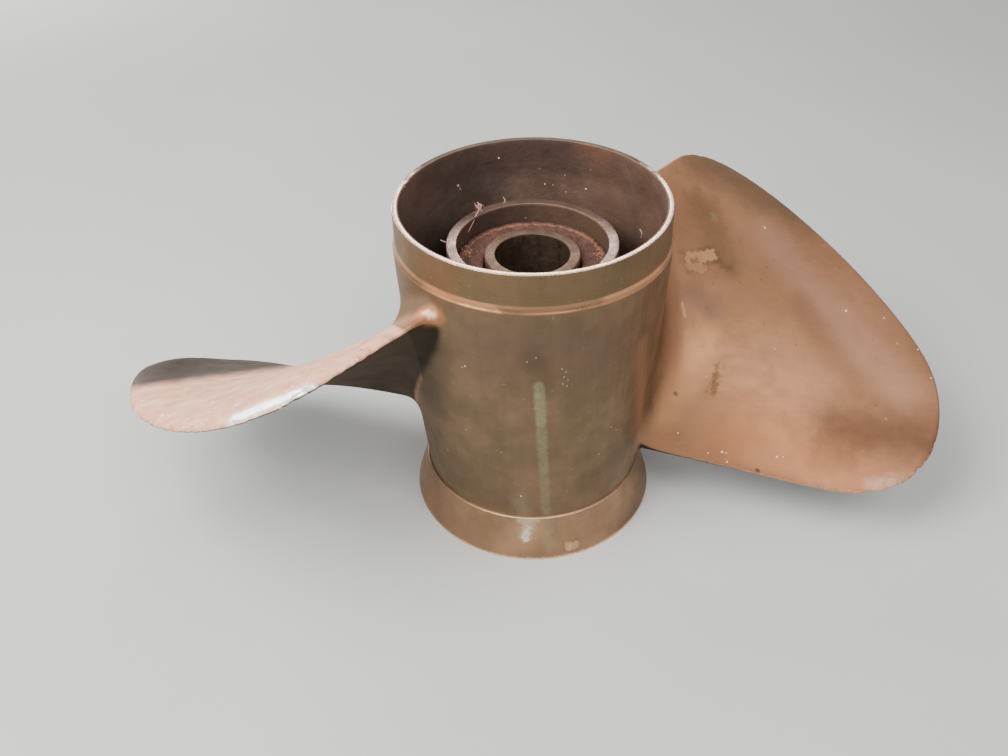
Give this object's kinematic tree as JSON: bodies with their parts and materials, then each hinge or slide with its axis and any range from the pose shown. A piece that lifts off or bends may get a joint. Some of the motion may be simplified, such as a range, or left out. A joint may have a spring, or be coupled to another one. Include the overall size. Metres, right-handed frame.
{
  "type": "ship propeller",
  "caption": "Right-hand bronze boat propeller with wide round-tipped blades on a hollow exhaust hub, with a flared aft ring, a rubber bush and a splined sleeve.",
  "frame": {"origin": "on the shaft axis, in the plane of the aft face that the propeller stands on", "axes": "+Z along the shaft axis towards the bow, which is the upper end as it stands; +X towards the middle of one blade"},
  "size_m": [0.3488, 0.1786, 0.1446],
  "materials": {
    "casting_bronze": "weathered cast bronze, smooth but dull, with brown and green patina",
    "ring_bronze": "smooth turned bronze, cleaner than the barrel",
    "bush_rubber": "aged reddish brown rubber, cracked at its edge",
    "sleeve_bronze": "dull machined bronze"
  },
  "bodies": {
    "root": {"propeller_casting": "casting_bronze", "flared_ring": "ring_bronze", "rubber_bush": "bush_rubber", "splined_sleeve": "sleeve_bronze"}
  },
  "joints": []
}
